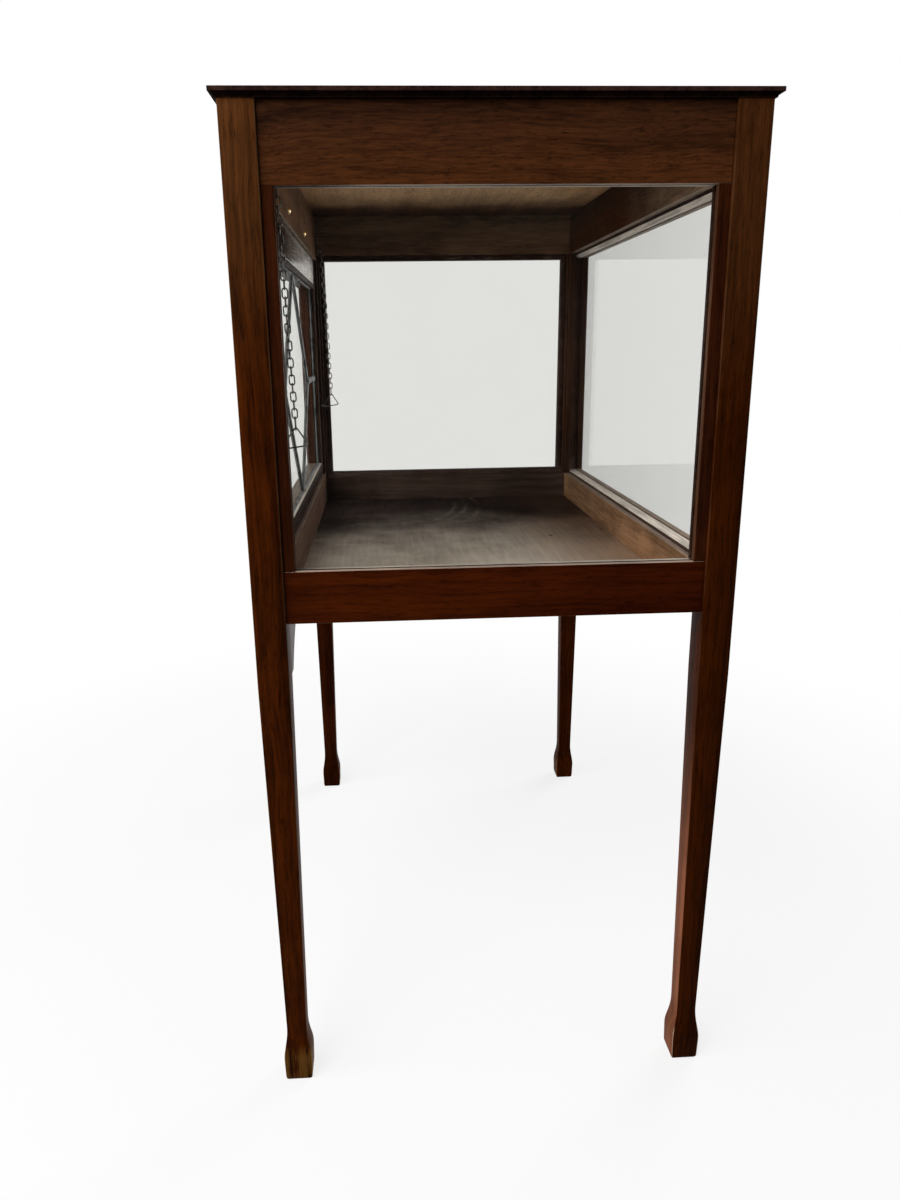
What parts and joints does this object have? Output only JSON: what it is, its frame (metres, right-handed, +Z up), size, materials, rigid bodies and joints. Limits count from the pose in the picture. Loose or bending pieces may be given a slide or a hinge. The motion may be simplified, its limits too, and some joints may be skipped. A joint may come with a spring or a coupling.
{
  "type": "display case",
  "caption": "Glazed oak display case on tapered legs with spade feet, with a leaded-glass drop flap on chain stays, brass turn buttons and a solid moulded top.",
  "frame": {"origin": "on the ground, in the middle of the four feet", "axes": "+Z up, X along the long side, -Y out of the front where the leaded flap is"},
  "size_m": [0.788, 0.513, 1.062],
  "materials": {
    "oak": "dark red-brown stain, satin",
    "oak_inside": "dull, dusty",
    "clear_glass": "polished",
    "leaded_glass": "slightly wavy",
    "lead": "dull grey",
    "brass": "aged, worn bright",
    "dark_steel": "darkened"
  },
  "bodies": {
    "case": {"leg_front_right": "oak", "leg_front_left": "oak", "leg_back_right": "oak", "leg_back_left": "oak", "top_board": "oak", "top_dowels": "oak_inside", "upper_rail_right": "oak", "upper_rail_left": "oak", "upper_rail_back": "oak", "upper_rail_front": "oak", "lower_rail_right": "oak", "lower_rail_left": "oak", "lower_rail_back": "oak", "lower_rail_front": "oak", "stiles_right": "oak", "stiles_left": "oak", "stiles_back": "oak", "glass_right": "clear_glass", "glass_left": "clear_glass", "glass_back": "clear_glass", "beads_right": "oak_inside", "beads_left": "oak_inside", "beads_back": "oak_inside", "floor_board": "oak_inside", "floor_screws": "dark_steel", "bracket_right": "oak", "bracket_left": "oak", "flap_stops": "oak", "hinge_case_leaf_right": "brass", "hinge_case_leaf_left": "brass", "hinge_pins": "brass", "hinge_case_screws": "brass", "rail_eyes": "dark_steel", "button_bolts": "brass", "button_nuts": "brass"},
    "flap": {"flap_stile_right": "oak", "flap_stile_left": "oak", "flap_top_rail": "oak", "flap_bottom_rail": "oak", "flap_beads": "oak", "flap_eyes": "dark_steel", "lead_cames": "lead", "leaded_panes": "leaded_glass", "hinge_flap_leaf_right": "brass", "hinge_flap_leaf_left": "brass", "hinge_flap_screws": "brass"},
    "chain_right": {"stay_chain_right": "dark_steel"},
    "triangle_right": {"stay_triangle_right": "dark_steel"},
    "button_right": {"turn_button_right": "brass"},
    "chain_left": {"stay_chain_left": "dark_steel"},
    "triangle_left": {"stay_triangle_left": "dark_steel"},
    "button_left": {"turn_button_left": "brass"}
  },
  "joints": [
    {"name": "flap_hinge", "type": "hinge", "parent": "case", "child": "flap", "pos_m": [0, -0.2493, 0.62475], "axis": [1, 0, 0], "range_deg": [0, 26]},
    {"name": "chain_swing_right", "type": "hinge", "parent": "case", "child": "chain_right", "pos_m": [0.338, -0.2071, 0.996], "axis": [1, 0, 0], "range_deg": [-16, 0.2]},
    {"name": "triangle_swing_right", "type": "hinge", "parent": "flap", "child": "triangle_right", "pos_m": [0.338, -0.2136, 0.74479], "axis": [1, 0, 0], "range_deg": [-3, 0.2]},
    {"name": "chain_swing_left", "type": "hinge", "parent": "case", "child": "chain_left", "pos_m": [-0.338, -0.2071, 0.996], "axis": [1, 0, 0], "range_deg": [-16, 0.2]},
    {"name": "triangle_swing_left", "type": "hinge", "parent": "flap", "child": "triangle_left", "pos_m": [-0.338, -0.2136, 0.74479], "axis": [1, 0, 0], "range_deg": [-3, 0.2]},
    {"name": "turn_button_right_spin", "type": "hinge", "parent": "case", "child": "button_right", "pos_m": [0.112, -0.248, 1], "axis": [0, 1, 0], "continuous": true},
    {"name": "turn_button_left_spin", "type": "hinge", "parent": "case", "child": "button_left", "pos_m": [-0.112, -0.248, 1], "axis": [0, 1, 0], "continuous": true}
  ],
  "couplings": [
    {"joint": "chain_swing_right", "follows": "flap_hinge", "ratio": -0.6077},
    {"joint": "triangle_swing_right", "follows": "flap_hinge", "ratio": -0.1077},
    {"joint": "chain_swing_left", "follows": "flap_hinge", "ratio": -0.6077},
    {"joint": "triangle_swing_left", "follows": "flap_hinge", "ratio": -0.1077}
  ]
}
